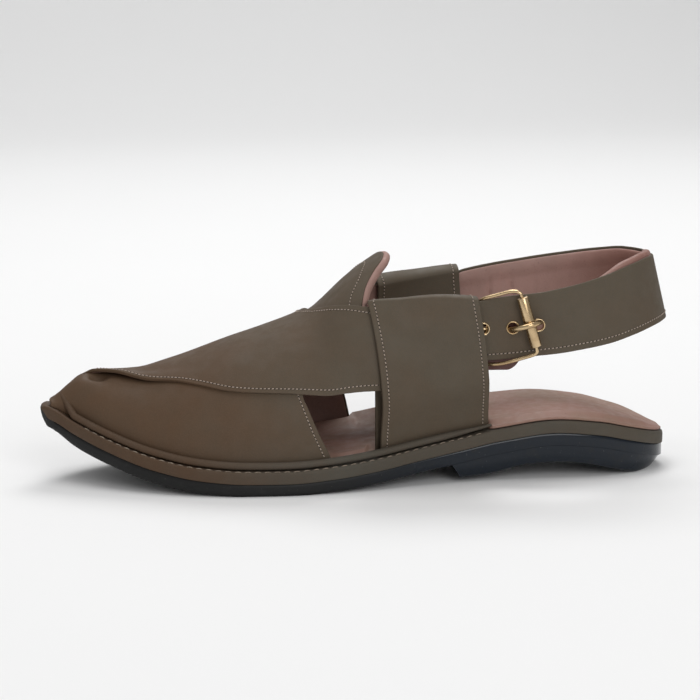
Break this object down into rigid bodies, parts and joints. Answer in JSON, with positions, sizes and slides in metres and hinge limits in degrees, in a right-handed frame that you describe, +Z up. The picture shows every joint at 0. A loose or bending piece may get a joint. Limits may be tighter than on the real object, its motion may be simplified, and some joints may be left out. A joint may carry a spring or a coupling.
{
  "type": "peshawari chappal",
  "caption": "A left peshawari chappal in taupe leather with crossed front straps, a tongue, looped side straps, a brass-buckled heel strap and a dark rubber sole with a low heel.",
  "frame": {"origin": "on the floor, in the middle of the shoe's length and width", "axes": "+X from the toe to the heel, +Y to the inner side of the foot, +Z up"},
  "size_m": [0.2928, 0.0989, 0.1044],
  "materials": {
    "taupe_leather": "matte nubuck",
    "rose_lining": "satin",
    "dark_rubber": "semi-gloss",
    "brass": "brushed"
  },
  "bodies": {
    "root": {"outsole": "dark_rubber", "heel": "dark_rubber", "midsole": "taupe_leather", "welt": "taupe_leather", "insole": "rose_lining", "upper": "taupe_leather", "side_strap_outer": "taupe_leather", "side_strap_inner": "taupe_leather", "heel_strap": "taupe_leather", "buckle_tab": "rose_lining", "buckle_frame": "brass", "buckle_roller": "brass", "buckle_prong": "brass", "eyelet_1": "brass", "eyelet_2": "brass", "eyelet_3": "brass"}
  },
  "joints": []
}
